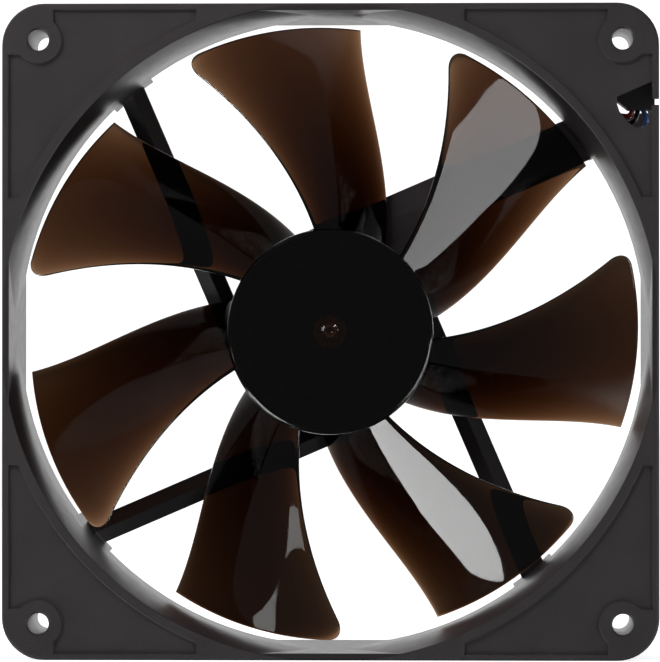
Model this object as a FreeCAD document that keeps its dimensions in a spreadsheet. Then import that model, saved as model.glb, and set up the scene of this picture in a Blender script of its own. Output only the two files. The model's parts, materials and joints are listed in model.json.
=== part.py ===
import FreeCAD, Part
import math
import os
import re
import Sketcher

"""A 140 mm case fan, piece by piece.

Every piece is modelled lying down: the spin axis is Z, the intake side faces +Z and the
frame's middle is at the origin. stand_upright() then turns each piece about X, so that in
the finished assembly the fan stands on its lower edge, its spin axis lies along Y and its
intake side faces -Y.
"""

# Driving dimensions in millimetres and degrees: alias, value, meaning.
SIZES = [
    ("frame_side", 140.0, "width and height of the square frame"),
    ("frame_depth", 25.0, "depth of the frame along the spin axis"),
    ("frame_corner", 9.0, "radius of the frame's outer corners"),
    ("frame_chamfer", 0.4, "chamfer round both faces of the frame"),
    ("flange_depth", 3.6, "thickness of the front and rear flanges"),
    ("duct_radius", 68.0, "inside of the duct"),
    ("mouth_radius", 70.2, "duct radius at the front face"),
    ("mouth_depth", 12.0, "depth of the flared mouth"),
    ("outlet_radius", 69.4, "duct radius at the rear face"),
    ("outlet_depth", 3.0, "depth of the flared outlet"),
    ("duct_wall", 1.5, "thickness of the duct wall at the flat sides and the mouth"),
    ("flat_front", 68.5, "distance of the duct's four side flats from the spin axis, at the front"),
    ("flat_rear", 67.1, "distance of the duct's four side flats from the spin axis, at the rear"),
    ("hole_spacing", 124.5, "distance between mounting holes"),
    ("hole_radius", 2.25, "radius of the mounting holes"),
    ("hole_chamfer", 0.35, "chamfer at both ends of each mounting hole"),
    ("post_radius", 5.0, "outside of the tube round each mounting hole"),
    ("pad_inset", 1.35, "rim left outside the recessed corner pads"),
    ("pad_sink", 0.6, "depth of the recessed corner pads"),
    ("pad_arc", 72.2, "inner arc of the recessed corner pads"),
    ("pad_end", 28.5, "distance of the pad ends from the centre lines"),
    ("land_start", 59.1, "start of the raised square land in each corner"),
    ("strut_angle", 23.3, "slope of the first strut above the X axis"),
    ("strut_offset", 22.4, "distance of each strut's outer edge from the spin axis"),
    ("strut_width", 5.7, "width of the three plain struts"),
    ("lead_strut_width", 10.0, "width of the strut that carries the leads"),
    ("strut_edge_depth", 2.9, "depth of a plain strut along its edges"),
    ("lead_strut_edge_depth", 4.0, "depth of the wide strut along its edges"),
    ("strut_ridge_depth", 4.3, "depth of every strut along its ridge"),
    ("gusset_reach", 28.0, "distance along the wide strut to the outer end of its gusset"),
    ("gusset_low", 9.4, "distance of the gusset's inner corners from the strut's centre line"),
    ("foot_height", 0.6, "thickening of the duct wall at each strut's outer end"),
    ("foot_angle", 8.8, "arc of the thickened wall at each strut's outer end"),
    ("base_radius", 22.0, "radius of the motor base"),
    ("base_plate", 1.9, "thickness of the motor base's plate"),
    ("base_rim_depth", 4.3, "depth of the motor base's rim"),
    ("base_rim_inside", 19.4, "inside of the motor base's rim"),
    ("boss_radius", 7.0, "boss that holds the bearing tube and the circuit board"),
    ("boss_depth", 3.4, "height of the boss above the frame's rear face"),
    ("label_radius", 18.0, "radius of the plain label on the motor base"),
    ("label_depth", 0.2, "thickness of the label and depth of its recess"),
    ("channel_offset", 16.0, "distance of the lead channel's middle from the spin axis"),
    ("channel_width", 5.4, "width of the lead channel"),
    ("channel_roof", 3.4, "height of the channel's roof above the rear face"),
    ("channel_start", 21.0, "distance along the strut where the channel opens"),
    ("channel_end", 64.0, "distance along the strut where the channel closes again"),
    ("trench_end", 76.2, "distance along the strut where the trench in the flange ends"),
    ("bridge_length", 3.0, "length of each bridge across the channel"),
    ("bridge_lap", 0.2, "overlap of each bridge with the channel's sides"),
    ("bridge_depth", 1.2, "thickness of each bridge"),
    ("lead_radius", 0.55, "radius of each lead"),
    ("lead_pitch", 1.25, "distance between leads in the channel"),
    ("lead_height", 2.8, "height of the leads' middle above the rear face"),
    ("blade_count", 7, "number of blades"),
    ("blade_tip_radius", 65.9, "radius of the blade tips"),
    ("blade_front", 9.8, "height of the leading edge at the tip"),
    ("blade_front_root", 9.0, "height of the leading edge at the hub"),
    ("blade_rear", -6.8, "height of the trailing edge"),
    ("tip_rounding", 4.5, "rounding of each blade's leading tip corner"),
    ("blade_thickness", 1.9, "greatest thickness of a blade at its middle radius"),
    ("hub_radius", 22.0, "outside of the hub"),
    ("hub_wall", 1.5, "thickness of the hub's skirt"),
    ("hub_front", 11.7, "height of the hub's front face"),
    ("hub_face", 1.7, "thickness of the hub's front wall"),
    ("hub_rear", -7.6, "height of the hub's rear edge"),
    ("hub_fillet", 1.0, "rounding of the hub's front edge"),
    ("dimple_radius", 1.9, "radius of the dimple in the middle of the hub"),
    ("dimple_slope", 0.5, "width of the dimple's sloping wall"),
    ("dimple_sink", 0.3, "depth of the dimple"),
    ("nub_radius", 0.9, "foot of the moulding nub in the dimple"),
    ("nub_top", 0.35, "radius of the nub's flat top"),
    ("nub_height", 0.25, "height of the nub above the dimple's floor"),
    ("yoke_radius", 20.5, "outside of the steel rotor yoke"),
    ("yoke_wall", 0.8, "thickness of the yoke's sheet"),
    ("yoke_rear", -7.0, "height of the yoke's open edge"),
    ("magnet_inside", 17.9, "inside of the ring magnet"),
    ("magnet_half", 6.5, "half the height of the ring magnet"),
    ("bush_radius", 3.5, "outside of the brass bush in the hub"),
    ("bush_rear", 7.6, "height of the bush's rear end"),
    ("bush_front", 10.6, "height of the front ends of bush and shaft"),
    ("shaft_radius", 1.5, "radius of the shaft"),
    ("shaft_play", 0.03, "radial running clearance of the shaft"),
    ("shaft_rear", -9.85, "height of the shaft's rear end"),
    ("clip_inside", 1.1, "radius of the shaft's groove"),
    ("clip_outside", 2.6, "outside of the clip in the shaft's groove"),
    ("clip_rear", -9.2, "height of the clip's rear face"),
    ("clip_depth", 0.5, "thickness of the clip"),
    ("tube_radius", 4.5, "outside of the bearing tube"),
    ("sleeve_radius", 3.2, "outside of the bearing sleeve"),
    ("tube_rear", -11.6, "height of the bearing tube's rear end"),
    ("tube_front", 6.2, "height of the bearing tube's front end"),
    ("sleeve_rear", -8.3, "height of the sleeve's rear end"),
    ("seal_depth", 0.5, "thickness of the oil seal"),
    ("seal_play", 0.15, "radial clearance of the oil seal round the shaft"),
    ("pad_front", -9.9, "height of the thrust pad's front face"),
    ("pad_depth", 0.5, "thickness of the thrust pad"),
    ("washer_radius", 2.8, "outside of the thrust washer"),
    ("washer_depth", 0.5, "thickness of the thrust washer"),
    ("core_radius", 17.4, "outside of the stator core"),
    ("core_inner_ring", 7.5, "outside of the core's inner ring"),
    ("core_rear", -1.5, "height of the core's rear face"),
    ("core_front", 4.5, "height of the core's front face"),
    ("shoe_depth", 2.6, "radial depth of the pole shoes"),
    ("slot_gap", 2.4, "gap between neighbouring pole shoes"),
    ("tooth_width", 5.0, "width of each core tooth"),
    ("insulation", 0.6, "thickness of the winding insulators"),
    ("coil_start", 8.2, "radius where each coil starts"),
    ("coil_end", 13.6, "radius where each coil ends"),
    ("coil_build", 1.7, "thickness of each coil's windings"),
    ("wall_rise", 2.2, "height of the insulators' outer walls above their covers"),
    ("pin_radius", 0.3, "radius of the winding pins"),
    ("board_radius", 19.0, "outside of the circuit board"),
    ("board_hole", 4.8, "hole in the circuit board"),
    ("board_depth", 1.0, "thickness of the circuit board"),
    ("header_left", 60.0, "left side of the connector header"),
    ("header_right", 69.2, "mouth of the connector header"),
    ("header_low", 47.4, "lower side of the connector header"),
    ("header_high", 56.2, "upper side of the connector header"),
    ("header_rear", 2.9, "height of the header's rear face"),
    ("header_wall", 1.0, "wall of the header's socket"),
    ("header_back", 3.0, "wall behind the header's socket"),
    ("header_cut_across", 3.6, "width of the header's cut-off corner"),
    ("header_cut_along", 2.8, "height of the header's cut-off corner"),
    ("header_pin_sink", 1.5, "distance of the pin ends behind the header's mouth"),
    ("header_pin_pitch", 2.0, "distance between header pins"),
    ("header_pin_width", 0.5, "width of the square header pins"),
]

# The blade's edges as angles clockwise from the top, at the hub, half way and at the tip.
LEADING_ANGLES = (248.4, 237.75, 228.0)
TRAILING_ANGLES = (287.6, 269.85, 262.5)
# Radius inside the hub's skirt where each blade starts, so that the two overlap.
BLADE_ROOT_RADIUS = 21.2
# Sections along the blade's plain part, the steps round its tip in degrees, steps per chord.
BLADE_STATIONS = 7
TIP_STEPS = (0, 30, 55, 90)
CHORD_STEPS = 10
# Share of the blade's fall that bends: 0 is a straight helix.
CAMBER = 0.35
# How much of the tip rounding's quarter circle is used, so that its end is not square on.
TIP_REACH = 0.97
# Thickness as shares of blade_thickness: at hub, middle and tip, then along the chord.
THICKNESS_SPREAD = (1.25, 1.0, 0.8)
EDGE_SHARE = 0.28
# How full the blade's section is: 1 is a plain sine, less is fuller towards the edges.
BELLY_POWER = 0.6

# The window in the front flange, seen from the front, and the opening behind it.
WINDOW = [(61.1, 50.0), (68.5, 53.2), (68.6, 49.6), (71.0, 49.6), (71.0, 48.2), (68.5, 48.2),
          (68.4, 45.1), (66.7, 43.5), (64.9, 43.5), (63.7, 44.3), (61.6, 46.8), (61.0, 48.6)]
REAR_WINDOW = [(60.4, 46.6), (65.0, 46.6), (65.0, 47.6), (71.0, 47.6), (71.0, 50.4), (65.0, 50.4),
               (65.0, 52.6), (60.4, 52.6)]

# Each lead's way from the end of its channel to the header: (x, y, height) by hand.
LEAD_WAYS = {
    "lead_white": (-1.5, [(64.0, 42.2, -6.5), (67.4, 42.2, 2.5), (69.0, 44.4, 5.2), (68.2, 48.2, 5.4)]),
    "lead_blue": (-0.5, [(63.0, 43.2, -5.5), (66.4, 42.9, 3.2), (68.0, 44.6, 5.7), (66.6, 48.2, 5.9)]),
    "lead_black": (0.5, [(62.2, 44.4, -5.0), (62.6, 44.9, 3.6), (65.0, 44.6, 5.6), (66.0, 48.2, 5.0)]),
    "lead_red": (1.5, [(60.8, 45.4, -5.0), (60.6, 46.5, 4.2), (64.1, 46.0, 6.6), (64.8, 48.2, 6.3)]),
}

# Distances along the wide strut where the two bridges over the leads start.
BRIDGE_STARTS = (32, 50)

# The chips on the circuit board: left side, lower side, width, height, thickness.
CHIPS = {
    "motor_driver": (-12.0, 4.0, 5.0, 4.0, 1.2),
    "hall_sensor": (10.4, 10.4, 2.8, 2.8, 1.2),
    "capacitor": (6.0, -10.0, 2.6, 3.2, 1.8),
    "resistor_1": (-8.0, -10.0, 2.0, 1.2, 0.6),
    "resistor_2": (-8.0, -8.0, 2.0, 1.2, 0.6),
}

# Share of the shorter run that each bend of a lead takes up.
BEND_SHARE = 0.45
# Distance past the duct wall where the leads start to spread out.
LEAD_SPREAD_START = 1.5

OVERSHOOT = 1.0
QUARTER_TURNS = (0, 90, 180, 270)
AXIS = FreeCAD.Vector(0, 0, 1)

doc = FreeCAD.newDocument("case_fan")
sheet = doc.addObject("Spreadsheet::Sheet", "sizes")
for row, (alias, number, meaning) in enumerate(SIZES, start=1):
    sheet.set(f"A{row}", alias)
    sheet.set(f"B{row}", str(number))
    sheet.set(f"C{row}", meaning)
    sheet.setAlias(f"B{row}", alias)
doc.recompute()


def cells(expression):
    """Turn the alias words of an expression into references to the sheet's cells."""
    return re.sub(r"[a-z][a-z_]+", lambda word: "sizes." + word.group(0), str(expression))


def size(expression):
    """The present value of an expression."""
    return float(sheet.evalExpression(cells(expression)))


def bind(item, property_name, expression):
    """Tie a property to the sheet."""
    item.setExpression(property_name, cells(expression))


# ---------------------------------------------------------------- building blocks

def origin_plane(body, role):
    """One of a body's own origin planes."""
    return next(item for item in body.Origin.OriginFeatures if item.Role == role)


def new_sketch(body, name, role, height="0"):
    """An empty sketch on an origin plane, lifted to a height along the plane's normal."""
    sketch = body.newObject("Sketcher::SketchObject", name)
    sketch.AttachmentSupport = [(origin_plane(body, role), "")]
    sketch.MapMode = "FlatFace"
    bind(sketch, "AttachmentOffset.Base.z", height)
    return sketch


def add_circle(sketch, radius):
    """A circle round the sketch's origin, with its radius tied to the sheet."""
    shape = Part.Circle(FreeCAD.Vector(0, 0, 0), AXIS, size(radius))
    item = sketch.addGeometry(shape, False)
    sketch.addConstraint(Sketcher.Constraint("Coincident", item, 3, -1, 1))
    constraint = sketch.addConstraint(Sketcher.Constraint("Radius", item, size(radius)))
    bind(sketch, f"Constraints[{constraint}]", radius)


def add_polygon(sketch, corners):
    """A closed polygon whose corner coordinates are each tied to the sheet."""
    points = [FreeCAD.Vector(size(first), size(second), 0) for first, second in corners]
    count = len(points)
    first_line = sketch.GeometryCount
    for index in range(count):
        sketch.addGeometry(Part.LineSegment(points[index], points[(index + 1) % count]), False)
    for index in range(count):
        line = first_line + index
        following = first_line + (index + 1) % count
        sketch.addConstraint(Sketcher.Constraint("Coincident", line, 2, following, 1))
        for kind, axis, number, expression in (("DistanceX", -2, points[index].x, corners[index][0]),
                                               ("DistanceY", -1, points[index].y, corners[index][1])):
            if expression == "0":
                sketch.addConstraint(Sketcher.Constraint("PointOnObject", line, 1, axis))
                continue
            constraint = sketch.addConstraint(Sketcher.Constraint(kind, -1, 1, line, 1, number))
            bind(sketch, f"Constraints[{constraint}]", expression)


def pad(body, sketch, depth):
    """Pad a sketch to a depth tied to the sheet."""
    feature = body.newObject("PartDesign::Pad", sketch.Name + "_pad")
    feature.Profile = sketch
    bind(feature, "Length", depth)
    return feature


def dress(body, kind, name, places):
    """Round or chamfer edges of a body's last feature."""
    last = body.Tip
    feature = body.newObject("PartDesign::" + kind, name)
    feature.Base = (last, places)
    return feature


def ring(name, outside, inside, rear, front):
    """A round disc or ring between two heights, as a body of its own."""
    body = doc.addObject("PartDesign::Body", name)
    sketch = new_sketch(body, name + "_outline", "XY_Plane", rear)
    add_circle(sketch, outside)
    if inside is not None:
        add_circle(sketch, inside)
    pad(body, sketch, f"({front}) - ({rear})")
    return body


def plate(name, corners, rear, front):
    """A polygonal plate between two heights, as a body of its own."""
    body = doc.addObject("PartDesign::Body", name)
    sketch = new_sketch(body, name + "_outline", "XY_Plane", rear)
    add_polygon(sketch, corners)
    pad(body, sketch, f"({front}) - ({rear})")
    return body


def turned(name, profile):
    """A body of revolution from (radius, height) corners."""
    body = doc.addObject("PartDesign::Body", name)
    sketch = new_sketch(body, name + "_profile", "XZ_Plane")
    add_polygon(sketch, profile)
    feature = body.newObject("PartDesign::Revolution", name + "_turn")
    feature.Profile = sketch
    feature.ReferenceAxis = (sketch, ["V_Axis"])
    feature.Angle = 360
    return body


def box(name, left, right, low, high, rear, front):
    """A plain box between six planes."""
    item = doc.addObject("Part::Box", name)
    for length, near, far in (("Length", left, right), ("Width", low, high), ("Height", rear, front)):
        bind(item, length, f"({far}) - ({near})")
    for axis, near in (("x", left), ("y", low), ("z", rear)):
        bind(item, f"Placement.Base.{axis}", near)
    return item


def cylinder(name, radius, rear, front, across="0", along="0"):
    """A plain cylinder between two heights."""
    item = doc.addObject("Part::Cylinder", name)
    bind(item, "Radius", radius)
    bind(item, "Height", f"({front}) - ({rear})")
    for axis, near in (("x", across), ("y", along), ("z", rear)):
        bind(item, f"Placement.Base.{axis}", near)
    return item


def cone(name, rear_radius, front_radius, rear, front, across="0", along="0"):
    """A plain cone between two heights."""
    item = doc.addObject("Part::Cone", name)
    bind(item, "Radius1", rear_radius)
    bind(item, "Radius2", front_radius)
    bind(item, "Height", f"({front}) - ({rear})")
    for axis, near in (("x", across), ("y", along), ("z", rear)):
        bind(item, f"Placement.Base.{axis}", near)
    return item


def fuse(name, items):
    """The union of several items."""
    item = doc.addObject("Part::MultiFuse", name)
    item.Shapes = items
    item.Refine = True
    return item


def common(name, items):
    """What several items have in common."""
    item = doc.addObject("Part::MultiCommon", name)
    item.Shapes = items
    return item


def cut(name, base, tool):
    """One item less another."""
    item = doc.addObject("Part::Cut", name)
    item.Base = base
    item.Tool = tool
    item.Refine = True
    return item


def group(name, items):
    """Separate solids that share one node."""
    item = doc.addObject("Part::Compound", name)
    item.Links = items
    return item


def turn(item, angle):
    """Turn an unbound item about the spin axis."""
    item.Placement = FreeCAD.Placement(FreeCAD.Vector(0, 0, 0), FreeCAD.Rotation(AXIS, angle))
    return item


def corner_places():
    """The four mounting hole places, as expressions."""
    half = "hole_spacing / 2"
    return [(f"{across} * {half}", f"{along} * {half}") for across in (1, -1) for along in (1, -1)]


# ---------------------------------------------------------------- frame

def frame_block():
    """The solid square block that the frame is cut from."""
    half = "frame_side / 2"
    corners = [(f"-{half}", f"-{half}"), (half, f"-{half}"), (half, half), (f"-{half}", half)]
    body = plate("frame_block", corners, "-frame_depth / 2", "frame_depth / 2")
    doc.recompute()
    upright = [f"Edge{number}" for number, edge in enumerate(body.Shape.Edges, start=1)
               if abs(edge.tangentAt(edge.FirstParameter).z) > 0.99]
    fillet = dress(body, "Fillet", "frame_corners", upright)
    bind(fillet, "Radius", "frame_corner")
    doc.recompute()
    flat_faces = [f"Face{number}" for number, face in enumerate(body.Shape.Faces, start=1)
                  if abs(face.normalAt(0, 0).z) > 0.99]
    chamfer = dress(body, "Chamfer", "frame_edges", flat_faces)
    bind(chamfer, "Size", "frame_chamfer")
    return body


def tapered_limit(name, rear_half, front_half, rear, front):
    """A square prism that narrows towards the rear, standing on its rear face."""
    item = doc.addObject("Part::Wedge", name)
    for side in ("X", "Z"):
        bind(item, side + "min", f"-{rear_half}")
        bind(item, side + "max", rear_half)
        bind(item, side + "2min", f"-{front_half}")
        bind(item, side + "2max", front_half)
    bind(item, "Ymin", rear)
    bind(item, "Ymax", front)
    item.Placement.Rotation = FreeCAD.Rotation(FreeCAD.Vector(1, 0, 0), 90)
    return item


def duct_mouth():
    """The flared mouth, whose wall is an arc that leaves the bore without a corner."""
    front = "frame_depth / 2"
    widening = "(mouth_radius - duct_radius)"
    bend = f"(mouth_depth * mouth_depth + {widening} * {widening}) / (2 * {widening})"
    wall = doc.addObject("Part::Torus", "mouth_wall")
    bind(wall, "Radius1", f"duct_radius + {bend}")
    bind(wall, "Radius2", bend)
    bind(wall, "Placement.Base.z", f"{front} - mouth_depth")
    return cut("duct_mouth", cylinder("mouth_space", "mouth_radius", f"{front} - mouth_depth", front), wall)


def duct_bore():
    """The way through: round, flared at both ends, and cut short by four flats at the sides."""
    front = "frame_depth / 2"
    limit = tapered_limit("duct_limit", "flat_rear", "flat_front", f"-{front}", front)
    mouth = duct_mouth()
    outlet = cone("outlet_flare", "outlet_radius", "duct_radius", f"-{front}", f"-{front} + outlet_depth")
    bore = cylinder("bore", "duct_radius", f"-{front}", front)
    return common("duct_way", [fuse("round_way", [bore, mouth, outlet]), limit])


def corner_pockets():
    """The open pockets between the two flanges, round the duct wall and the four posts."""
    reach = f"frame_side / 2 + {OVERSHOOT}"
    inner = "frame_depth / 2 - flange_depth"
    slab = box("pocket_slab", f"-({reach})", reach, f"-({reach})", reach, f"-({inner})", inner)
    wall = cylinder("duct_outside", "mouth_radius + duct_wall", f"-({inner})", inner)
    posts = [cylinder(f"post_{number}", "post_radius", f"-({inner})", inner, *place)
             for number, place in enumerate(corner_places(), start=1)]
    return cut("corner_pockets", slab, fuse("pocket_cores", [wall] + posts))


def pad_recesses(name, rear, front):
    """The shallow corner recesses of one face."""
    reach = "frame_side / 2 - pad_inset"
    far = "frame_side / 2"
    slab = box(name + "_slab", f"-({reach})", reach, f"-({reach})", reach, rear, front)
    kept = [cylinder(name + "_arc", "pad_arc", rear, front),
            box(name + "_upright", "-pad_end", "pad_end", f"-{far}", far, rear, front),
            box(name + "_level", f"-{far}", far, "-pad_end", "pad_end", rear, front)]
    for number, (across, along) in enumerate(corner_places(), start=1):
        kept.append(cylinder(f"{name}_boss_{number}", "post_radius", rear, front, across, along))
        left, right = ("land_start", far) if size(across) > 0 else (f"-{far}", "-land_start")
        low, high = ("land_start", far) if size(along) > 0 else (f"-{far}", "-land_start")
        kept.append(box(f"{name}_land_{number}", left, right, low, high, rear, front))
    return cut(name, slab, fuse(name + "_kept", kept))


def mounting_holes():
    """Four through holes with a chamfer at each end."""
    face = "frame_depth / 2"
    wide = "hole_radius + hole_chamfer"
    tools = []
    for number, place in enumerate(corner_places(), start=1):
        tools.append(cylinder(f"hole_{number}", "hole_radius", f"-{face}", face, *place))
        tools.append(cone(f"hole_front_{number}", "hole_radius", wide,
                          f"{face} - hole_chamfer", face, *place))
        tools.append(cone(f"hole_rear_{number}", wide, "hole_radius",
                          f"-{face}", f"-{face} + hole_chamfer", *place))
    return tools


def window_cuts():
    """The window in the front flange and the opening behind it."""
    face = "frame_depth / 2"
    front = plate("window", WINDOW, f"{face} - flange_depth - {OVERSHOOT}", f"{face} + {OVERSHOOT}")
    rear = plate("rear_window", REAR_WINDOW, f"-{face} - {OVERSHOOT}",
                 f"-{face} + flange_depth + {OVERSHOOT}")
    return [front, rear]


def strut(name, width, edge_depth):
    """A straight bar with a low ridge, from the motor base to the duct wall."""
    rear = "-frame_depth / 2"
    inner = f"strut_offset - {width}"
    profile = [(inner, rear), ("strut_offset", rear), ("strut_offset", f"{rear} + {edge_depth}"),
               (f"strut_offset - {width} / 2", f"{rear} + strut_ridge_depth"),
               (inner, f"{rear} + {edge_depth}")]
    body = doc.addObject("PartDesign::Body", name)
    sketch = new_sketch(body, name + "_section", "YZ_Plane")
    add_polygon(sketch, profile)
    pad(body, sketch, "frame_side / 2")
    return body


def strut_gusset():
    """The filled corner between the wide strut's inner edge and the motor base."""
    rear = "-frame_depth / 2"
    inner = "strut_offset - lead_strut_width"
    corners = [("boss_radius", "gusset_low"), ("base_radius - base_plate", "gusset_low"),
               ("gusset_reach", inner), ("gusset_reach", f"{inner} + bridge_depth"),
               ("boss_radius", f"{inner} + bridge_depth")]
    gusset = plate("strut_gusset", corners, rear, f"{rear} + lead_strut_edge_depth")
    return turn(gusset, size("strut_angle"))


def struts():
    """Three plain struts and the wide one for the leads, a quarter turn apart."""
    bars = [strut_gusset()]
    for number, angle in enumerate(QUARTER_TURNS):
        width = "strut_width" if number else "lead_strut_width"
        edge_depth = "strut_edge_depth" if number else "lead_strut_edge_depth"
        bars.append(turn(strut(f"strut_{number + 1}", width, edge_depth), size("strut_angle") - angle))
    rear = "-frame_depth / 2"
    limit = cylinder("strut_limit", "mouth_radius + duct_wall / 2", rear, "0")
    tray = cylinder("tray_space", "base_rim_inside", f"{rear} + base_plate", "0")
    recess = cylinder("label_space", "label_radius + label_depth", rear, f"{rear} + label_depth")
    inside = common("struts_inside", [fuse("strut_bars", bars), limit])
    return cut("strut_set", inside, fuse("strut_clearance", [tray, recess]))


def strut_feet():
    """The duct wall's thicker stretches where the struts meet it, thinning out towards the mouth."""
    rear = "-frame_depth / 2"
    front = "frame_depth / 2 - mouth_depth"
    feet = []
    for number, angle in enumerate(QUARTER_TURNS):
        width = size("strut_width") if number else size("lead_strut_width")
        middle = size("strut_offset") - width / 2
        bearing = size("strut_angle") + math.degrees(math.asin(middle / size("duct_radius"))) - angle
        outside = cylinder(f"foot_outside_{number + 1}", "duct_radius + duct_wall", rear, front)
        inside = cone(f"foot_inside_{number + 1}", "duct_radius - foot_height", "duct_radius", rear, front)
        bind(outside, "Angle", "foot_angle")
        foot = cut(f"foot_{number + 1}", outside, inside)
        feet.append(turn(foot, bearing - size("foot_angle") / 2))
    return feet


def motor_base():
    """The round tray behind the motor, with the boss for the bearing tube."""
    rear = "-frame_depth / 2"
    recess = "label_radius + label_depth"
    profile = [("tube_radius", f"{rear} + label_depth"), (recess, f"{rear} + label_depth"),
               (recess, rear), ("base_radius", rear),
               ("base_radius", f"{rear} + base_rim_depth"), ("base_rim_inside", f"{rear} + base_rim_depth"),
               ("base_rim_inside", f"{rear} + base_plate"), ("boss_radius", f"{rear} + base_plate"),
               ("boss_radius", f"{rear} + boss_depth"), ("tube_radius", f"{rear} + boss_depth")]
    return turned("motor_base", profile)


def lead_channel():
    """The way for the leads: open behind the strut, closed through rim, duct wall and flange."""
    rear = "-frame_depth / 2"
    low = "channel_offset - channel_width / 2"
    high = "channel_offset + channel_width / 2"
    floor = f"{rear} + base_plate"
    roof = f"{rear} + channel_roof"
    trench_roof = f"{rear} + flange_depth + {OVERSHOOT}"
    ways = [("channel_open", "channel_start", "channel_end", f"{rear} - {OVERSHOOT}", roof),
            ("channel_closed", "boss_radius / 2", "mouth_radius + duct_wall", floor, roof),
            ("channel_trench", "duct_radius", "trench_end", floor, trench_roof)]
    tools = []
    for name, start, end, bottom, top in ways:
        corners = [(start, low), (end, low), (end, high), (start, high)]
        tools.append(turn(plate(name, corners, bottom, top), size("strut_angle")))
    return tools


def channel_bridges():
    """Two thin bridges that hold the leads in the open channel."""
    rear = "-frame_depth / 2"
    low = "channel_offset - channel_width / 2 - bridge_lap"
    high = "channel_offset + channel_width / 2 + bridge_lap"
    bridges = []
    for number, start in enumerate(BRIDGE_STARTS, start=1):
        end = f"{start} + bridge_length"
        corners = [(start, low), (end, low), (end, high), (start, high)]
        bridge = plate(f"bridge_{number}", corners, rear, f"{rear} + bridge_depth")
        bridges.append(turn(bridge, size("strut_angle")))
    return bridges


def make_frame():
    """The whole frame moulding."""
    face = "frame_depth / 2"
    tools = [duct_bore(), corner_pockets(),
             pad_recesses("front_pads", f"{face} - pad_sink", f"{face} + {OVERSHOOT}"),
             pad_recesses("rear_pads", f"-{face} - {OVERSHOOT}", f"-{face} + pad_sink")]
    tools += mounting_holes() + window_cuts()
    shell = cut("frame_shell", frame_block(), fuse("frame_tools", tools))
    spider = fuse("frame_spider", [shell, struts(), motor_base()] + strut_feet())
    opened = cut("frame_opened", spider, fuse("lead_way", lead_channel()))
    return fuse("frame", [opened] + channel_bridges())


# ---------------------------------------------------------------- impeller

def three_point(values, radius):
    """A quadratic through the values at the hub, half way out and at the tip."""
    root = size("hub_radius")
    step = (size("blade_tip_radius") - root) / 2
    place = (radius - root) / step
    start, middle, end = values
    bend = (end - 2 * middle + start) / 2
    return start + (middle - start) * place + bend * place * (place - 1)


def blade_thickness(radius, chord):
    """Thickness at a radius and at a share of the chord: full in the middle, thin at the edges."""
    spread = three_point(THICKNESS_SPREAD, radius)
    belly = max(0.0, math.sin(math.pi * chord)) ** BELLY_POWER
    shape = EDGE_SHARE + (1 - EDGE_SHARE) * belly
    return size("blade_thickness") * spread * shape


def tip_trim(radius):
    """How far the rounded leading tip corner cuts into the chord at a radius."""
    rounding = size("tip_rounding")
    rise = max(0.0, (radius - size("blade_tip_radius")) / rounding + 1)
    return rounding * (1 - math.sqrt(1 - min(rise, TIP_REACH) ** 2))


def blade_point(radius, chord, side):
    """A point on one side of the blade, worked out on the unrolled cylinder."""
    lead = math.radians(90 - three_point(LEADING_ANGLES, radius))
    trail = math.radians(90 - three_point(TRAILING_ANGLES, radius))
    share = (radius - size("hub_radius")) / (size("blade_tip_radius") - size("hub_radius"))
    front = size("blade_front_root") + (size("blade_front") - size("blade_front_root")) * share
    fall = size("blade_rear") - front
    run = radius * (trail - lead)
    trimmed = tip_trim(radius) / abs(run)
    chord = trimmed + (1 - trimmed) * chord
    arc = radius * lead + run * chord
    height = front + fall * ((1 - CAMBER) * chord + CAMBER * chord ** 2)
    slope = fall * ((1 - CAMBER) + 2 * CAMBER * chord)
    length = math.hypot(run, slope)
    shift = side * blade_thickness(radius, chord) / 2
    angle = (arc + shift * slope / length) / radius
    height -= shift * run / length
    return FreeCAD.Vector(radius * math.cos(angle), radius * math.sin(angle), height)


def blade_shape():
    """One blade: two smooth sides, closed along the edges, the root and the tip."""
    reach = size("blade_tip_radius")
    rounding = size("tip_rounding")
    plain = reach - rounding
    radii = [BLADE_ROOT_RADIUS + (plain - BLADE_ROOT_RADIUS) * step / BLADE_STATIONS
             for step in range(BLADE_STATIONS)]
    radii += [plain + rounding * math.sin(math.radians(turned_by)) for turned_by in TIP_STEPS]
    chords = [step / CHORD_STEPS for step in range(CHORD_STEPS + 1)]
    sides = []
    for side in (1, -1):
        surface = Part.BSplineSurface()
        surface.interpolate([[blade_point(radius, chord, side) for chord in chords] for radius in radii])
        sides.append(surface)
    faces = [surface.toShape() for surface in sides]
    for low, high in ((0, 0), (1, 1)):
        along = [surface.vIso(surface.bounds()[2 + low]).toShape() for surface in sides]
        faces.append(Part.makeRuledSurface(*along))
        across = [surface.uIso(surface.bounds()[high]).toShape() for surface in sides]
        faces.append(Part.makeRuledSurface(*across))
    shell = Part.makeShell(faces)
    shell.sewShape()
    solid = Part.makeSolid(Part.Shell(shell.Faces))
    solid.fix(0.001, 0.001, 0.001)
    if solid.Volume < 0:
        solid.reverse()
    return solid


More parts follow.
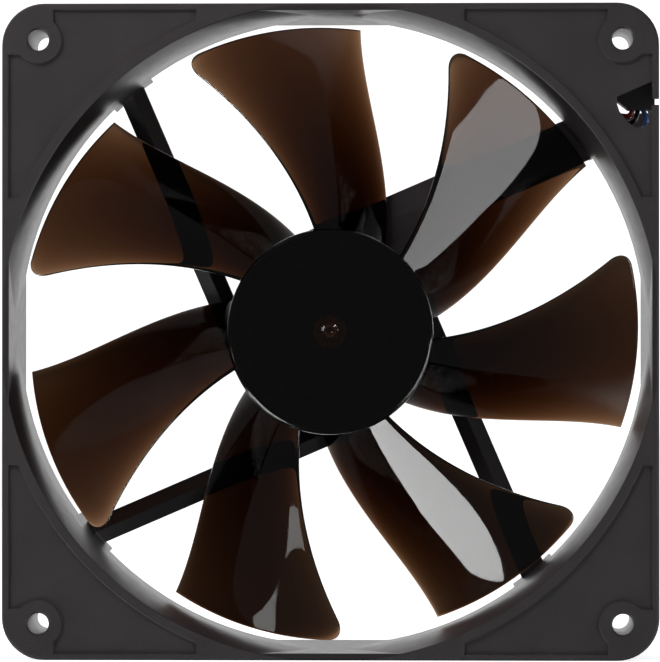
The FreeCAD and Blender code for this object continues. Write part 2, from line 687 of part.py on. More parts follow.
def hub_cup():
    """The hub with its skirt and the dimple in its front face."""
    inside = "hub_radius - hub_wall"
    wall_back = "hub_front - hub_face"
    sunk = "hub_front - dimple_sink"
    profile = [("0", f"{sunk} + nub_height"), ("nub_top", f"{sunk} + nub_height"), ("nub_radius", sunk),
               ("dimple_radius - dimple_slope", sunk), ("dimple_radius", "hub_front"),
               ("hub_radius", "hub_front"), ("hub_radius", "hub_rear"), (inside, "hub_rear"),
               (inside, wall_back), ("bush_radius", wall_back), ("bush_radius", "bush_front"),
               ("0", "bush_front")]
    body = turned("hub_cup", profile)
    doc.recompute()
    slack = 0.01
    rim = [f"Edge{number}" for number, edge in enumerate(body.Shape.Edges, start=1)
           if abs(edge.BoundBox.ZMin - size("hub_front")) < slack
           and edge.BoundBox.XMax > size("hub_radius") - slack
           and edge.BoundBox.ZLength < slack]
    fillet = dress(body, "Fillet", "hub_edge", rim)
    bind(fillet, "Radius", "hub_fillet")
    return body


def make_impeller():
    """The hub and its blades, one moulding."""
    shape = blade_shape()
    blades = []
    count = int(size("blade_count"))
    for number in range(count):
        blade = doc.addObject("Part::Feature", f"blade_{number + 1}")
        blade.Shape = shape
        blades.append(turn(blade, number * 360 / count))
    return fuse("impeller", [hub_cup()] + blades)


# ---------------------------------------------------------------- rotor

def make_rotor():
    """What spins with the impeller."""
    inside = "yoke_radius - yoke_wall"
    front = "hub_front - hub_face"
    yoke = turned("rotor_yoke", [("bush_radius", front), ("yoke_radius", front),
                                 ("yoke_radius", "yoke_rear"), (inside, "yoke_rear"),
                                 (inside, f"{front} - yoke_wall"), ("bush_radius", f"{front} - yoke_wall")])
    clip_front = "clip_rear + clip_depth"
    shaft = turned("shaft", [("0", "shaft_rear"), ("shaft_radius", "shaft_rear"),
                             ("shaft_radius", "clip_rear"), ("clip_inside", "clip_rear"),
                             ("clip_inside", clip_front), ("shaft_radius", clip_front),
                             ("shaft_radius", "bush_front"), ("0", "bush_front")])
    return [yoke, shaft,
            ring("ring_magnet", inside, "magnet_inside", "-magnet_half", "magnet_half"),
            ring("shaft_bush", "bush_radius", "shaft_radius", "bush_rear", "bush_front"),
            ring("shaft_clip", "clip_outside", "clip_inside", "clip_rear", clip_front),
            ring("thrust_washer", "washer_radius", "shaft_radius", "bush_rear - washer_depth", "bush_rear")]


# ---------------------------------------------------------------- bearing and motor

def make_bearing():
    """The tube, the sleeve and the small pieces that close them."""
    bore = "shaft_radius + shaft_play"
    seal_rear = "tube_front - seal_depth"
    pad_rear = "pad_front - pad_depth"
    return [ring("bearing_tube", "tube_radius", "sleeve_radius", "tube_rear", "tube_front"),
            ring("bearing_sleeve", "sleeve_radius", bore, "sleeve_rear", seal_rear),
            ring("oil_seal", "sleeve_radius", "shaft_radius + seal_play", seal_rear, "tube_front"),
            ring("thrust_pad", "sleeve_radius", None, pad_rear, "pad_front"),
            ring("bearing_plug", "sleeve_radius", None, "tube_rear", pad_rear)]


def make_core():
    """The stator core: an inner ring, four teeth and four pole shoes."""
    far = "core_radius"
    shoe_inside = "core_radius - shoe_depth"
    solid = [cylinder("core_ring", "core_inner_ring", "core_rear", "core_front")]
    half_tooth = "tooth_width / 2"
    for name, across, along in (("level", far, half_tooth), ("upright", half_tooth, far)):
        solid.append(box(f"teeth_{name}", f"-{across}", across, f"-{along}", along,
                         "core_rear", "core_front"))
    rim = cut("shoe_ring", cylinder("shoe_outside", far, "core_rear", "core_front"),
              cylinder("shoe_inside", shoe_inside, "core_rear", "core_front"))
    slots = []
    for number, angle in enumerate((45, 135), start=1):
        half = "slot_gap / 2"
        corners = [(f"-{far} - {OVERSHOOT}", f"-{half}"), (f"{far} + {OVERSHOOT}", f"-{half}"),
                   (f"{far} + {OVERSHOOT}", half), (f"-{far} - {OVERSHOOT}", half)]
        slots.append(turn(plate(f"slot_{number}", corners, "core_rear", "core_front"), angle))
    shoes = cut("shoes", rim, fuse("slots", slots))
    whole = common("core_whole", [fuse("core_star", solid + [shoes]),
                                  cylinder("core_limit", far, "core_rear", "core_front")])
    return cut("stator_core", whole, cylinder("core_bore", "tube_radius", "core_rear", "core_front"))


def make_insulator(name, face, away, middle):
    """A winding insulator: a cover on one face of the core, with side legs and outer walls."""
    outside = f"{face} + {away} * insulation"
    top = f"{outside} + {away} * wall_rise"
    rear, front = (face, outside) if away > 0 else (outside, face)
    leg_rear, leg_front = (middle, outside) if away > 0 else (outside, middle)
    wall_rear, wall_front = (face, top) if away > 0 else (top, face)
    half = "tooth_width / 2 + insulation"
    start = f"core_inner_ring - {OVERSHOOT}"
    wall_end = "coil_end + insulation"
    leg_end = "coil_end + insulation / 2"
    leg_corners = [(start, f"-({half})"), (leg_end, f"-({half})"), (leg_end, half), (start, half)]
    wall_corners = [("coil_end", "-tooth_width"), (wall_end, "-tooth_width"),
                    (wall_end, "tooth_width"), ("coil_end", "tooth_width")]
    pieces = [cylinder(name + "_collar", "core_inner_ring", rear, front)]
    for angle in QUARTER_TURNS:
        leg = plate(f"{name}_leg_{angle}", leg_corners, leg_rear, leg_front)
        wall = plate(f"{name}_wall_{angle}", wall_corners, wall_rear, wall_front)
        pieces.append(turn(leg, angle))
        pieces.append(turn(wall, angle))
    solid = fuse(name + "_solid", pieces)
    core_copy = fuse(name + "_core", [doc.getObject("core_star"),
                                      cylinder(name + "_bore", "tube_radius", rear, front)])
    return cut(name, solid, core_copy)


def make_coils():
    """Four coils, each a block of windings round its tooth."""
    coils = []
    inner = "tooth_width / 2 + insulation"
    outer = f"{inner} + coil_build"
    before = f"coil_start - {OVERSHOOT}"
    beyond = f"coil_end + {OVERSHOOT}"
    block_corners = [("coil_start", f"-({outer})"), ("coil_end", f"-({outer})"),
                     ("coil_end", outer), ("coil_start", outer)]
    window_corners = [(before, f"-({inner})"), (beyond, f"-({inner})"), (beyond, inner), (before, inner)]
    for number, angle in enumerate(QUARTER_TURNS, start=1):
        block = plate(f"coil_block_{number}", block_corners,
                      "core_rear - insulation - coil_build", "core_front + insulation + coil_build")
        window = plate(f"coil_window_{number}", window_corners,
                       "core_rear - insulation", "core_front + insulation")
        coils.append(turn(cut(f"coil_{number}", block, window), angle))
    return coils


def make_board():
    """The circuit board with its chips and the pins from the windings."""
    rear = "-frame_depth / 2 + boss_depth"
    top = f"{rear} + board_depth"
    board = ring("circuit_board", "board_radius", "board_hole", rear, top)

    chips = {}
    for name, (left, low, wide, high, depth) in CHIPS.items():
        corners = [(left, low), (left + wide, low), (left + wide, low + high), (left, low + high)]
        chips[name] = plate(name, corners, top, f"{top} + {depth}")
    pin_place = "coil_end + insulation / 2"
    pins = []
    for number, (across, along) in enumerate(((1, 0), (0, 1), (-1, 0), (0, -1)), start=1):
        pins.append(cylinder(f"winding_pin_{number}", "pin_radius", top,
                             "core_rear - insulation - wall_rise",
                             f"{across} * ({pin_place})", f"{along} * ({pin_place})"))
    return [board, chips["motor_driver"], chips["hall_sensor"], chips["capacitor"],
            group("resistors", [chips["resistor_1"], chips["resistor_2"]]),
            group("winding_pins", pins)]


# ---------------------------------------------------------------- connector and leads

def make_header():
    """The socket block in the corner pocket, with its lower left corner cut off, and its pins."""
    front = "frame_depth / 2 - flange_depth"
    corners = [("header_left + header_cut_across", "header_low"), ("header_right", "header_low"),
               ("header_right", "header_high"), ("header_left", "header_high"),
               ("header_left", "header_low + header_cut_along")]
    block = plate("header_block", corners, "header_rear", front)
    mouth = box("header_mouth", "header_left + header_back", f"header_right + {OVERSHOOT}",
                "header_low + header_wall", "header_high - header_wall", "header_rear + header_wall",
                f"{front} - header_wall")
    middle = f"(header_rear + {front}) / 2"
    half = "header_pin_width / 2"
    pins = []
    for number in range(4):
        across = f"(header_low + header_high) / 2 + {number - 1.5} * header_pin_pitch"
        pins.append(box(f"header_pin_{number + 1}", "header_left + header_back",
                        "header_right - header_pin_sink", f"{across} - {half}", f"{across} + {half}",
                        f"{middle} - {half}", f"{middle} + {half}"))
    return [cut("connector_header", block, mouth), group("header_pins", pins)]


def rounded_path(points):
    """Straight runs joined by tangent arcs, each as large as its two runs allow."""
    edges = []
    start = points[0]
    for before, corner, after in zip(points, points[1:], points[2:]):
        back = (before - corner).normalize()
        ahead = (after - corner).normalize()
        trim = BEND_SHARE * min((before - corner).Length, (after - corner).Length)
        half_turn = (math.pi - back.getAngle(ahead)) / 2
        arc_start = corner + back * trim
        arc_end = corner + ahead * trim
        radius = trim / math.tan(half_turn)
        centre = corner + (back + ahead).normalize() * (radius / math.cos(half_turn))
        arc_middle = centre + (corner - centre).normalize() * radius
        edges.append(Part.LineSegment(start, arc_start).toShape())
        edges.append(Part.Arc(arc_start, arc_middle, arc_end).toShape())
        start = arc_end
    edges.append(Part.LineSegment(start, points[-1]).toShape())
    return Part.Wire(edges)


def make_lead(name):
    """One lead, from under the circuit board along its channel to the header."""
    place, way = LEAD_WAYS[name]
    slope = math.radians(size("strut_angle"))
    along = FreeCAD.Vector(math.cos(slope), math.sin(slope), 0)
    aside = FreeCAD.Vector(-math.sin(slope), math.cos(slope), 0)
    level = AXIS * (size("lead_height") - size("frame_depth") / 2)
    track = aside * (size("channel_offset") + place * size("lead_pitch")) + level
    start = track
    leaving = track + along * (size("mouth_radius") + LEAD_SPREAD_START)
    points = [start, leaving] + [FreeCAD.Vector(*point) for point in way]
    path = rounded_path(points)
    radius = size("lead_radius")
    section = Part.Wire(Part.Circle(start, along, radius).toShape())
    tube = path.makePipeShell([section], True, True)
    expected = math.pi * radius ** 2 * path.Length
    if abs(tube.Volume - expected) > 0.01 * expected:
        raise SystemExit(f"{name} has volume {tube.Volume:.2f}, not {expected:.2f}")
    item = doc.addObject("Part::Feature", name)
    item.Shape = tube
    print(f"{name}: {path.Length:.1f} mm long")
    return item


# ---------------------------------------------------------------- assembly and output

def make_nodes():
    """Every separate piece of the fan."""
    rear = "-frame_depth / 2"
    nodes = [make_frame(), make_impeller()]
    nodes += make_rotor()
    nodes += make_bearing()
    nodes.append(make_core())
    nodes.append(make_insulator("insulator_front", "core_front", 1, "(core_front + core_rear) / 2"))
    nodes.append(make_insulator("insulator_rear", "core_rear", -1, "(core_front + core_rear) / 2"))
    nodes += make_coils()
    nodes += make_board()
    nodes += make_header()
    nodes += [make_lead(name) for name in LEAD_WAYS]
    nodes.append(ring("rear_label", "label_radius", None, rear, f"{rear} + label_depth"))
    return nodes


def stand_upright(node):
    """Turn a piece from lying down to its place in the finished assembly."""
    quarter = FreeCAD.Placement(FreeCAD.Vector(0, 0, 0), FreeCAD.Rotation(FreeCAD.Vector(1, 0, 0), 90))
    node.Placement = quarter.multiply(node.Placement)


def check(nodes):
    """Stop if any object failed or any piece is not a sound solid."""
    for item in doc.Objects:
        if "Invalid" in item.State or "Error" in item.State:
            raise SystemExit(f"{item.Name} failed: {item.State}")
    for node in nodes:
        if node.Shape.isNull() or not node.Shape.isValid() or not node.Shape.Solids:
            raise SystemExit(f"{node.Name} has no valid shape")


def write(nodes):
    """Write each piece to its own file and say what it is."""
    os.makedirs("parts", exist_ok=True)
    for node in nodes:
        node.Label = node.Name
        node.Shape.exportStep(f"parts/{node.Label}.step")
        bounds = node.Shape.BoundBox
        print(f"{node.Label}: {len(node.Shape.Solids)} solid(s), volume {node.Shape.Volume:.1f}, "
              f"{bounds.XLength:.1f} x {bounds.YLength:.1f} x {bounds.ZLength:.1f}")


pieces = make_nodes()
doc.recompute()
for piece in pieces:
    stand_upright(piece)
doc.recompute()
check(pieces)
write(pieces)
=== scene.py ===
import json
import math

import bmesh
import bpy
from mathutils import Matrix, Vector


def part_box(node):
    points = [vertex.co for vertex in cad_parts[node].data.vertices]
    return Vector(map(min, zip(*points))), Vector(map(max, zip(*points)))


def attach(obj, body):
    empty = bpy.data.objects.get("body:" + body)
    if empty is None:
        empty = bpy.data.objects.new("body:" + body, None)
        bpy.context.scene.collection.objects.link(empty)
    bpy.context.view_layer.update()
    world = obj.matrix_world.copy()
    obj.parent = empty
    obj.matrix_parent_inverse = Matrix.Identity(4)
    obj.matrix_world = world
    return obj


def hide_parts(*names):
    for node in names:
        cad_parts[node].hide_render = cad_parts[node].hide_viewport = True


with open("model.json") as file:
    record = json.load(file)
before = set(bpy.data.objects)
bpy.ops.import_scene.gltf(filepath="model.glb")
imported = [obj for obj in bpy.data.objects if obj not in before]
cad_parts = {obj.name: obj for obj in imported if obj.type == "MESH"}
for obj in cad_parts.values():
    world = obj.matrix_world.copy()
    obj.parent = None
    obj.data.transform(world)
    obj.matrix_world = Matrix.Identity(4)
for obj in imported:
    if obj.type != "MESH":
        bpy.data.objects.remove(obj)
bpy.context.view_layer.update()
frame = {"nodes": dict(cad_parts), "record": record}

MM = 0.001
FRAME_LOW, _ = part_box("frame")
FRONT = FRAME_LOW.y
FLOOR_Z = FRAME_LOW.z

# The camera, in metres and radians. It looks at a point on the front plane, CAMERA_AIM above the axis.
CAMERA_DISTANCE = 0.95
CAMERA_AZIMUTH = math.radians(1.44)
CAMERA_ELEVATION = math.radians(-0.45)
CAMERA_AIM = 0.00013
VISIBLE_HEIGHT = 0.1409
SENSOR = 36.0

# Where the frame's plastic is smooth: inside the duct and inside the corner holes, in metres.
DUCT_RADIUS = 0.0703
HOLE_PLACE = 0.06225
HOLE_RADIUS = 0.0024


# ---------------------------------------------------------------- material tools

# The part of a noise's range over which a colour or a value changes.
RAMP_ENDS = (0.3, 0.7)

# Noise scales, in cycles per metre, of the slow changes in a plastic's and a metal's colour and gloss.
PLASTIC_COLOUR, PLASTIC_GLOSS = 120, 400
METAL_COLOUR, METAL_GLOSS = 300, 900


class Nodes:
    """A material's node tree, with short ways to add and join nodes."""

    def __init__(self, name):
        self.material = bpy.data.materials.new(name)
        self.material.use_nodes = True
        self.tree = self.material.node_tree
        self.shader = self.tree.nodes["Principled BSDF"]
        self.output = self.tree.nodes["Material Output"]
        self.place = self.add("ShaderNodeTexCoord").outputs["Object"]

    def add(self, kind):
        """A new node."""
        return self.tree.nodes.new(kind)

    def join(self, source, target):
        """A link from an output to an input."""
        self.tree.links.new(source, target)

    def set(self, socket, value):
        """A uniform value on one of the shader's own sockets."""
        self.shader.inputs[socket].default_value = value

    def noise(self, scale, detail=3.0):
        """A noise texture in object space; scale is in cycles per metre."""
        node = self.add("ShaderNodeTexNoise")
        node.inputs["Scale"].default_value = scale
        node.inputs["Detail"].default_value = detail
        self.join(self.place, node.inputs["Vector"])
        return node.outputs["Fac"]

    def ramp(self, factor, low, high):
        """A colour that follows a factor between two ends."""
        node = self.add("ShaderNodeValToRGB")
        for end, position, colour in zip(node.color_ramp.elements, RAMP_ENDS, (low, high)):
            end.position = position
            end.color = (*colour, 1)
        self.join(factor, node.inputs["Fac"])
        return node.outputs["Color"]

    def colour(self, low, high, scale):
        """Base colour that wanders between two colours."""
        self.join(self.ramp(self.noise(scale), low, high), self.shader.inputs["Base Color"])

    def wander(self, low, high, scale):
        """A value that wanders between two values."""
        return self.ramp(self.noise(scale), (low,) * 3, (high,) * 3)

    def roughness(self, low, high, scale):
        """Roughness that wanders between two values."""
        self.join(self.wander(low, high, scale), self.shader.inputs["Roughness"])

    def bump(self, scale, depth, detail=4.0, strength=None, edge=None):
        """A fine surface bump, depth in metres; edge is how far the edges look rounded."""
        node = self.add("ShaderNodeBump")
        node.inputs["Strength"].default_value = 1.0
        node.inputs["Distance"].default_value = depth
        self.join(self.noise(scale, detail), node.inputs["Height"])
        if strength is not None:
            self.join(strength, node.inputs["Strength"])
        if edge is not None:
            rounding = self.add("ShaderNodeBevel")
            rounding.inputs["Radius"].default_value = edge
            self.join(rounding.outputs["Normal"], node.inputs["Normal"])
        self.join(node.outputs["Normal"], self.shader.inputs["Normal"])

    def maths(self, operation, first, second=0.0):
        """One step of arithmetic between sockets or numbers."""
        node = self.add("ShaderNodeMath")
        node.operation = operation
        for value, target in zip((first, second), node.inputs):
            if isinstance(value, (int, float)):
                target.default_value = value
            else:
                self.join(value, target)
        return node.outputs["Value"]

    def distance(self, first, second):
        """The length of a flat vector."""
        squares = [self.maths("MULTIPLY", value, value) for value in (first, second)]
        return self.maths("SQRT", self.maths("ADD", *squares))


def plastic(name, low, high, roughness, grain, depth):
    """Moulded plastic: two close colours, uneven gloss and a fine grain."""
    nodes = Nodes(name)
    nodes.colour(low, high, PLASTIC_COLOUR)
    nodes.roughness(*roughness, PLASTIC_GLOSS)
    nodes.bump(grain, depth)
    return nodes.material


def frame_plastic():
    """The frame's charcoal plastic: grained on its faces, smooth in the duct and the holes."""
    nodes = Nodes("frame_plastic")
    smooth_grain = 0.04
    matt_extra = 0.2
    edge_rounding = 0.0004
    nodes.colour((0.029, 0.0238, 0.0255), (0.038, 0.0308, 0.033), PLASTIC_COLOUR)
    split = nodes.add("ShaderNodeSeparateXYZ")
    nodes.join(nodes.place, split.inputs["Vector"])
    place = (split.outputs["X"], split.outputs["Z"])
    in_duct = nodes.maths("LESS_THAN", nodes.distance(*place), DUCT_RADIUS)
    from_hole = [nodes.maths("SUBTRACT", nodes.maths("ABSOLUTE", value), HOLE_PLACE) for value in place]
    in_hole = nodes.maths("LESS_THAN", nodes.distance(*from_hole), HOLE_RADIUS)
    grained = nodes.maths("SUBTRACT", 1.0, nodes.maths("MAXIMUM", in_duct, in_hole))
    extra = nodes.maths("MULTIPLY", grained, matt_extra)
    roughness = nodes.maths("ADD", nodes.wander(0.34, 0.4, PLASTIC_GLOSS), extra)
    nodes.join(roughness, nodes.shader.inputs["Roughness"])
    strength = nodes.maths("ADD", smooth_grain, nodes.maths("MULTIPLY", grained, 1 - smooth_grain))
    nodes.bump(2600, 0.00012, strength=strength, edge=edge_rounding)
    return nodes.material


def metal(name, low, high, roughness, grain, depth):
    """Bare metal with uneven gloss and fine marks."""
    nodes = Nodes(name)
    nodes.set("Metallic", 1.0)
    nodes.colour(low, high, METAL_COLOUR)
    nodes.roughness(*roughness, METAL_GLOSS)
    nodes.bump(grain, depth)
    return nodes.material


def smoke_plastic():
    """The impeller's glossy smoke-brown plastic, darker where it is thicker."""
    nodes = Nodes("impeller_plastic")
    nodes.set("IOR", 1.5)
    nodes.set("Transmission Weight", 1.0)
    nodes.colour((0.93, 0.90, 0.88), (1.0, 0.98, 0.96), 60)
    nodes.roughness(0.02, 0.05, 150)
    nodes.bump(90, 0.00002, detail=1.0)
    absorb = nodes.add("ShaderNodeVolumeAbsorption")
    absorb.inputs["Color"].default_value = (0.36, 0.18, 0.0, 1)
    absorb.inputs["Density"].default_value = 3700
    nodes.join(absorb.outputs["Volume"], nodes.output.inputs["Volume"])
    return nodes.material


# Each slot's plastic or metal: two colours, two roughnesses, the grain's scale and its depth in metres.
PLASTICS = {
    "black_plastic": ((0.015, 0.015, 0.016), (0.022, 0.021, 0.021), (0.3, 0.4), 2500, 0.00001),
    "white_plastic": ((0.78, 0.77, 0.72), (0.86, 0.85, 0.8), (0.35, 0.45), 2500, 0.00001),
    "insulator_plastic": ((0.62, 0.60, 0.54), (0.7, 0.68, 0.62), (0.35, 0.45), 2500, 0.00001),
    "board_green": ((0.02, 0.12, 0.05), (0.03, 0.17, 0.07), (0.2, 0.3), 1500, 0.00001),
    "chip_black": ((0.02, 0.02, 0.02), (0.03, 0.03, 0.03), (0.5, 0.6), 4000, 0.00001),
    "capacitor_tan": ((0.45, 0.33, 0.2), (0.55, 0.42, 0.28), (0.35, 0.45), 4000, 0.00001),
    "label_paper": ((0.035, 0.035, 0.037), (0.045, 0.045, 0.047), (0.3, 0.4), 1200, 0.00001),
    "magnet_rubber": ((0.04, 0.038, 0.036), (0.055, 0.05, 0.048), (0.6, 0.7), 3000, 0.00002),
    "lead_white": ((0.7, 0.7, 0.7), (0.8, 0.8, 0.8), (0.25, 0.35), 1500, 0.00001),
    "lead_blue": ((0.06, 0.2, 0.6), (0.1, 0.27, 0.72), (0.25, 0.35), 1500, 0.00001),
    "lead_black": ((0.012, 0.012, 0.012), (0.02, 0.02, 0.02), (0.2, 0.3), 1500, 0.00001),
    "lead_red": ((0.72, 0.02, 0.025), (0.85, 0.04, 0.04), (0.25, 0.35), 1500, 0.00001),
}
METALS = {
    "brass": ((0.72, 0.52, 0.22), (0.82, 0.62, 0.30), (0.2, 0.35), 3000, 0.000005),
    "sintered_bronze": ((0.40, 0.26, 0.14), (0.52, 0.36, 0.20), (0.45, 0.6), 5000, 0.00002),
    "core_steel": ((0.16, 0.17, 0.18), (0.24, 0.24, 0.25), (0.4, 0.5), 4000, 0.00001),
    "tin_plate": ((0.66, 0.66, 0.64), (0.78, 0.78, 0.76), (0.2, 0.3), 4000, 0.000005),
    "shaft_steel": ((0.6, 0.6, 0.62), (0.72, 0.72, 0.74), (0.1, 0.2), 4000, 0.000003),
    "yoke_steel": ((0.012, 0.012, 0.012), (0.02, 0.02, 0.02), (0.35, 0.5), 3000, 0.00001),
    "copper_wire": ((0.6, 0.25, 0.1), (0.75, 0.36, 0.18), (0.2, 0.3), 6000, 0.00004),
}


def make_materials():
    """Every slot's material."""
    made = {"frame_plastic": frame_plastic(), "impeller_plastic": smoke_plastic()}
    for name, look in PLASTICS.items():
        made[name] = plastic(name, *look)
    for name, look in METALS.items():
        made[name] = metal(name, *look)
    return made


def dress_cad_nodes(made):
    """Give every CAD node the material of its slot."""
    slots = {part["node"]: part["material_slot"] for part in frame["record"]["subparts"]}
    for name, piece in frame["nodes"].items():
        for holder in piece.material_slots:
            holder.material = made[slots[name]]


# ---------------------------------------------------------------- impeller

# The impeller's shape in millimetres and degrees. Its blades' places, pitch and camber are the CAD
# node's. Their section is fuller, their edges are rounded and their tip corners are slightly rounder.
# The hub is 0.1 mm tighter inside, so that it doesn't lie on the yoke's surface.
# Angles and thicknesses are given at the hub, half way out and at the tip.
TIP_RADIUS = 65.9
TIP_ROUNDING = 4.5
TIP_REACH = 0.995
HUB_RADIUS = 22.0
ROOT_RADIUS = 21.2
BLADE_COUNT = 7
LEADING_ANGLES = (248.4, 237.75, 228.0)
TRAILING_ANGLES = (287.6, 269.85, 262.5)
FRONT_HEIGHTS = (9.0, 9.8)
REAR_HEIGHT = -6.8
CAMBER = 0.35
THICKNESS = 1.9
THICKNESS_SPREAD = (1.25, 1.0, 0.8)
EDGE_SHARE = 0.28
BELLY_POWER = 0.35
CHORD_STEPS = 44
PLAIN_STATIONS = 30
TIP_STATIONS = 14

# The hub's section from the nub in its dimple out to the rim, then the skirt and the inside.
HUB_FACE = [(0.0, 11.65), (0.3, 11.65), (0.38, 11.62), (0.86, 11.42), (0.94, 11.4), (1.38, 11.4),
            (1.44, 11.42), (1.84, 11.67), (1.92, 11.7), (2.1, 11.7), (20.6, 11.7), (20.8, 11.7)]
HUB_RIM = 1.0
HUB_FRONT = 11.7
HUB_BACK = [(22.0, -7.3), (21.91, -7.51), (21.7, -7.6), (20.6, -7.6), (20.4, -7.4), (20.4, 9.9),
            (3.4, 9.9), (3.4, 10.6), (0.0, 10.6)]
HUB_STEPS = 192
HUB_RIM_STEPS = 10

# Points nearer than this are one point, in metres, and edges sharper than this stay sharp.
SAME_POINT = 2e-7
SHARP_EDGE = math.radians(50)


def three_point(values, radius):
    """A quadratic through the values at the hub, half way out and at the tip."""
    place = (radius - HUB_RADIUS) / ((TIP_RADIUS - HUB_RADIUS) / 2)
    start, middle, end = values
    return start + (middle - start) * place + (end - 2 * middle + start) / 2 * place * (place - 1)


def half_thickness(radius, chord, length):
    """Half the blade's thickness, rounded off along its edges and its tip."""
    spread = THICKNESS * three_point(THICKNESS_SPREAD, radius) / 2
    belly = max(0.0, math.sin(math.pi * chord)) ** BELLY_POWER
    edge = EDGE_SHARE * spread
    half = edge + (spread - edge) * belly
    for distance in (min(chord, 1 - chord) * length, TIP_RADIUS - radius):
        inside = min(1.0, max(0.0, distance / edge))
        half *= math.sqrt(1 - (1 - inside) ** 2)
    return half


def around_axis(radius, angle, height):
    """A point in metres from its place about the spin axis, height toward the front in millimetres."""
    return Vector((radius * math.cos(angle), -height, radius * math.sin(angle))) * MM


def blade_point(radius, chord, side):
    """A point on one side of the blade, worked out on the unrolled cylinder, in metres."""
    lead = math.radians(90 - three_point(LEADING_ANGLES, radius))
    trail = math.radians(90 - three_point(TRAILING_ANGLES, radius))
    share = (radius - HUB_RADIUS) / (TIP_RADIUS - HUB_RADIUS)
    front = FRONT_HEIGHTS[0] + (FRONT_HEIGHTS[1] - FRONT_HEIGHTS[0]) * share
    fall = REAR_HEIGHT - front
    run = radius * (trail - lead)
    rise = min(TIP_REACH, max(0.0, (radius - TIP_RADIUS) / TIP_ROUNDING + 1))
    trimmed = TIP_ROUNDING * (1 - math.sqrt(1 - rise ** 2)) / abs(run)
    place = trimmed + (1 - trimmed) * chord
    slope = fall * ((1 - CAMBER) + 2 * CAMBER * place)
    length = math.hypot(run, slope)
    shift = side * half_thickness(radius, chord, length * (1 - trimmed))
    angle = (radius * lead + run * place + shift * slope / length) / radius
    height = front + fall * ((1 - CAMBER) * place + CAMBER * place ** 2) - shift * run / length
    return around_axis(radius, angle, height)


def ring_faces(rows, around):
    """The faces between rows of points, each row a closed loop."""
    faces = []
    for row in range(rows - 1):
        for column in range(around):
            following = (column + 1) % around
            faces.append((row * around + column, row * around + following,
                          (row + 1) * around + following, (row + 1) * around + column))
    return faces


def blade_mesh(name, turned):
    """One blade as a closed skin of sections, turned about the spin axis."""
    plain = TIP_RADIUS - TIP_ROUNDING
    radii = [ROOT_RADIUS + (plain - ROOT_RADIUS) * step / PLAIN_STATIONS for step in range(PLAIN_STATIONS)]
    radii += [plain + TIP_ROUNDING * math.sin(math.pi / 2 * step / TIP_STATIONS)
              for step in range(TIP_STATIONS + 1)]
    chords = [(1 - math.cos(math.pi * step / CHORD_STEPS)) / 2 for step in range(CHORD_STEPS + 1)]
    loop = [(chord, 1) for chord in chords] + [(chord, -1) for chord in chords[-2:0:-1]]
    spin = Matrix.Rotation(turned, 4, "Y")
    points = [spin @ blade_point(radius, *place) for radius in radii for place in loop]
    root_face = tuple(range(len(loop)))
    return closed_mesh(name, points, ring_faces(len(radii), len(loop)) + [root_face])


def hub_mesh(name):
    """The hub, turned from its section."""
    turns = [math.pi / 2 * step / HUB_RIM_STEPS for step in range(HUB_RIM_STEPS + 1)]
    rim = [(HUB_RADIUS - HUB_RIM + HUB_RIM * math.sin(turn), HUB_FRONT - HUB_RIM + HUB_RIM * math.cos(turn))
           for turn in turns]
    section = HUB_FACE + rim + HUB_BACK
    angles = [2 * math.pi * step / HUB_STEPS for step in range(HUB_STEPS)]
    points = [around_axis(radius, angle, height) for radius, height in section for angle in angles]
    return closed_mesh(name, points, ring_faces(len(section), HUB_STEPS))


def closed_mesh(name, points, faces):
    """A smooth closed mesh with its normals outwards and its doubled points joined."""
    mesh = bpy.data.meshes.new(name)
    mesh.from_pydata([tuple(point) for point in points], [], faces)
    work = bmesh.new()
    work.from_mesh(mesh)
    bmesh.ops.remove_doubles(work, verts=work.verts, dist=SAME_POINT)
    bmesh.ops.recalc_face_normals(work, faces=work.faces)
    if work.calc_volume(signed=True) < 0:
        bmesh.ops.reverse_faces(work, faces=work.faces)
    work.to_mesh(mesh)
    work.free()
    mesh.shade_smooth()
    mesh.set_sharp_from_angle(angle=SHARP_EDGE)
    return mesh


def make_impeller(plastic_material):
    """The hub and the blades in place of the CAD impeller."""
    meshes = [hub_mesh("impeller_hub")]
    for number in range(BLADE_COUNT):
        meshes.append(blade_mesh(f"impeller_blade_{number + 1}", 2 * math.pi * number / BLADE_COUNT))
    for mesh in meshes:
        piece = bpy.data.objects.new(mesh.name, mesh)
        bpy.context.scene.collection.objects.link(piece)
        mesh.materials.append(plastic_material)
        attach(piece, "rotor")
    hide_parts("impeller")


# ---------------------------------------------------------------- studio

# The backdrop's light: (direction, where it starts and ends to rise, strength before and after).
LIGHT_AROUND = ((0, 1, 0), 0.3, 0.9, 0.1, 1.3)
LIGHT_THROUGH = ((-0.2, 0, 1), -0.06, 0.06, 0.3, 1.6)
PLAIN_WHITE = ((0, 1, 0), -1, 1, 1.2, 1.2)

FLOOR_REACH = 3.0

# Softboxes: azimuth to the right of the front, elevation, distance, width, height, radiance,
# and whether they are there to be mirrored (or else to light the matt faces).
LIGHTS = {
    "key": (-45, 45, 0.5, 0.3, 0.3, 8.5, False),
    "low_right": (62, -20, 2.0, 1.8, 1.2, 4.0, True),
    "low_left": (-59, -43.5, 2.0, 1.25, 0.8, 10.0, True),
    "left_strip": (-46, -9, 2.0, 0.5, 0.16, 2.7, True),
}


def outward(azimuth, elevation):
    """The direction from the fan to the right of its front by azimuth, and up by elevation."""
    return Vector((math.sin(azimuth) * math.cos(elevation), -math.cos(azimuth) * math.cos(elevation),
                   math.sin(elevation)))


def face_inward(thing, direction):
    """Turn a camera or a light to look against a direction."""
    thing.rotation_mode = "QUATERNION"
    thing.rotation_quaternion = (-direction).to_track_quat("-Z", "Y")


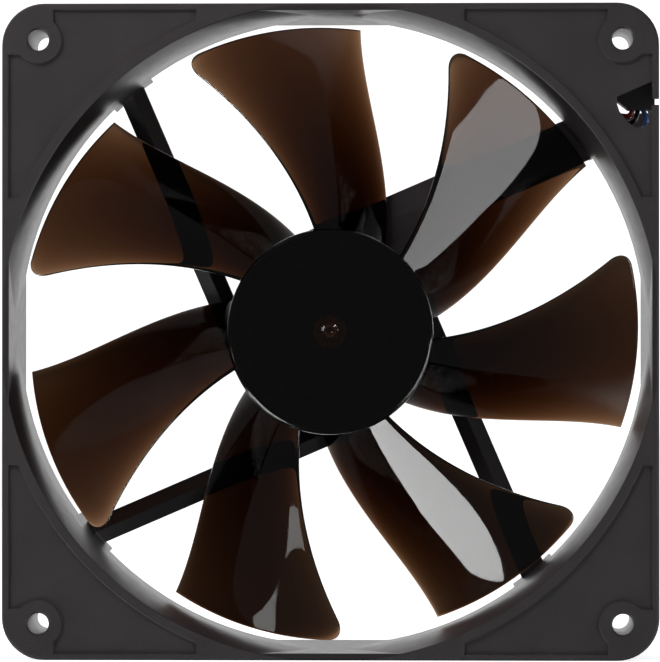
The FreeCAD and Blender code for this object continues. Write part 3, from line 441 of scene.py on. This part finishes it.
def make_camera():
    """A long lens in front of the fan, a little to the right of its axis and a little below it."""
    data = bpy.data.cameras.new("camera")
    data.sensor_width = SENSOR
    data.lens = SENSOR * CAMERA_DISTANCE / VISIBLE_HEIGHT
    data.clip_start = 0.01
    camera = bpy.data.objects.new("camera", data)
    bpy.context.scene.collection.objects.link(camera)
    back = outward(CAMERA_AZIMUTH, CAMERA_ELEVATION)
    camera.location = Vector((0, FRONT, CAMERA_AIM)) + back * CAMERA_DISTANCE
    face_inward(camera, back)
    bpy.context.scene.camera = camera


def make_world():
    """A studio: dim in front, bright behind, and plain white where the camera sees it directly.

    What shines through the blades grows brighter toward the top left.
    """
    world = bpy.data.worlds.new("studio")
    bpy.context.scene.world = world
    world.use_nodes = True
    tree = world.node_tree
    tree.nodes.clear()
    place = tree.nodes.new("ShaderNodeTexCoord")
    path = tree.nodes.new("ShaderNodeLightPath")

    def gradient(direction, start, end, low, high):
        """Light whose strength rises along a direction."""
        along = tree.nodes.new("ShaderNodeVectorMath")
        along.operation = "DOT_PRODUCT"
        along.inputs[1].default_value = direction
        tree.links.new(place.outputs["Generated"], along.inputs[0])
        ramp = tree.nodes.new("ShaderNodeMapRange")
        ramp.interpolation_type = "SMOOTHSTEP"
        for name, value in (("From Min", start), ("From Max", end), ("To Min", low), ("To Max", high)):
            ramp.inputs[name].default_value = value
        tree.links.new(along.outputs["Value"], ramp.inputs["Value"])
        light = tree.nodes.new("ShaderNodeBackground")
        light.inputs["Color"].default_value = (1, 1, 1, 1)
        tree.links.new(ramp.outputs["Result"], light.inputs["Strength"])
        return light.outputs["Background"]

    def choose(factor, first, second):
        """The second shader where the factor is 1."""
        mix = tree.nodes.new("ShaderNodeMixShader")
        tree.links.new(path.outputs[factor], mix.inputs["Fac"])
        tree.links.new(first, mix.inputs[1])
        tree.links.new(second, mix.inputs[2])
        return mix.outputs["Shader"]

    lit = choose("Is Transmission Ray", gradient(*LIGHT_AROUND), gradient(*LIGHT_THROUGH))
    seen = choose("Is Camera Ray", lit, gradient(*PLAIN_WHITE))
    output = tree.nodes.new("ShaderNodeOutputWorld")
    tree.links.new(seen, output.inputs["Surface"])


def make_floor():
    """A plain pale floor under the fan. It lights nothing and shows in no surface."""
    mesh = bpy.data.meshes.new("floor")
    corners = [(-1, -1), (1, -1), (1, 1), (-1, 1)]
    points = [(x * FLOOR_REACH, y * FLOOR_REACH, FLOOR_Z) for x, y in corners]
    mesh.from_pydata(points, [], [(0, 1, 2, 3)])
    floor = bpy.data.objects.new("floor", mesh)
    bpy.context.scene.collection.objects.link(floor)
    nodes = Nodes("floor_white")
    nodes.colour((0.86, 0.86, 0.86), (0.9, 0.9, 0.9), 3)
    nodes.set("Roughness", 0.8)
    nodes.set("Emission Color", (1, 1, 1, 1))
    nodes.set("Emission Strength", 0.8)
    mesh.materials.append(nodes.material)
    floor.visible_diffuse = False
    floor.visible_glossy = False
    floor.visible_transmission = False
    floor.visible_shadow = False


def area_light(name, azimuth, elevation, distance, width, height, radiance, mirrored):
    """A soft rectangular light that faces the fan; angles in degrees seen from its middle."""
    data = bpy.data.lights.new(name, "AREA")
    data.shape = "RECTANGLE"
    data.size = width
    data.size_y = height
    data.energy = radiance * math.pi * width * height
    light = bpy.data.objects.new(name, data)
    light.visible_glossy = mirrored
    light.visible_diffuse = not mirrored
    bpy.context.scene.collection.objects.link(light)
    direction = outward(math.radians(azimuth), math.radians(elevation))
    light.location = direction * distance
    face_inward(light, direction)


bpy.context.scene.view_settings.view_transform = "Standard"
make_camera()
make_world()
make_floor()
materials = make_materials()
dress_cad_nodes(materials)
make_impeller(materials["impeller_plastic"])
for light_name, light_place in LIGHTS.items():
    area_light(light_name, *light_place)
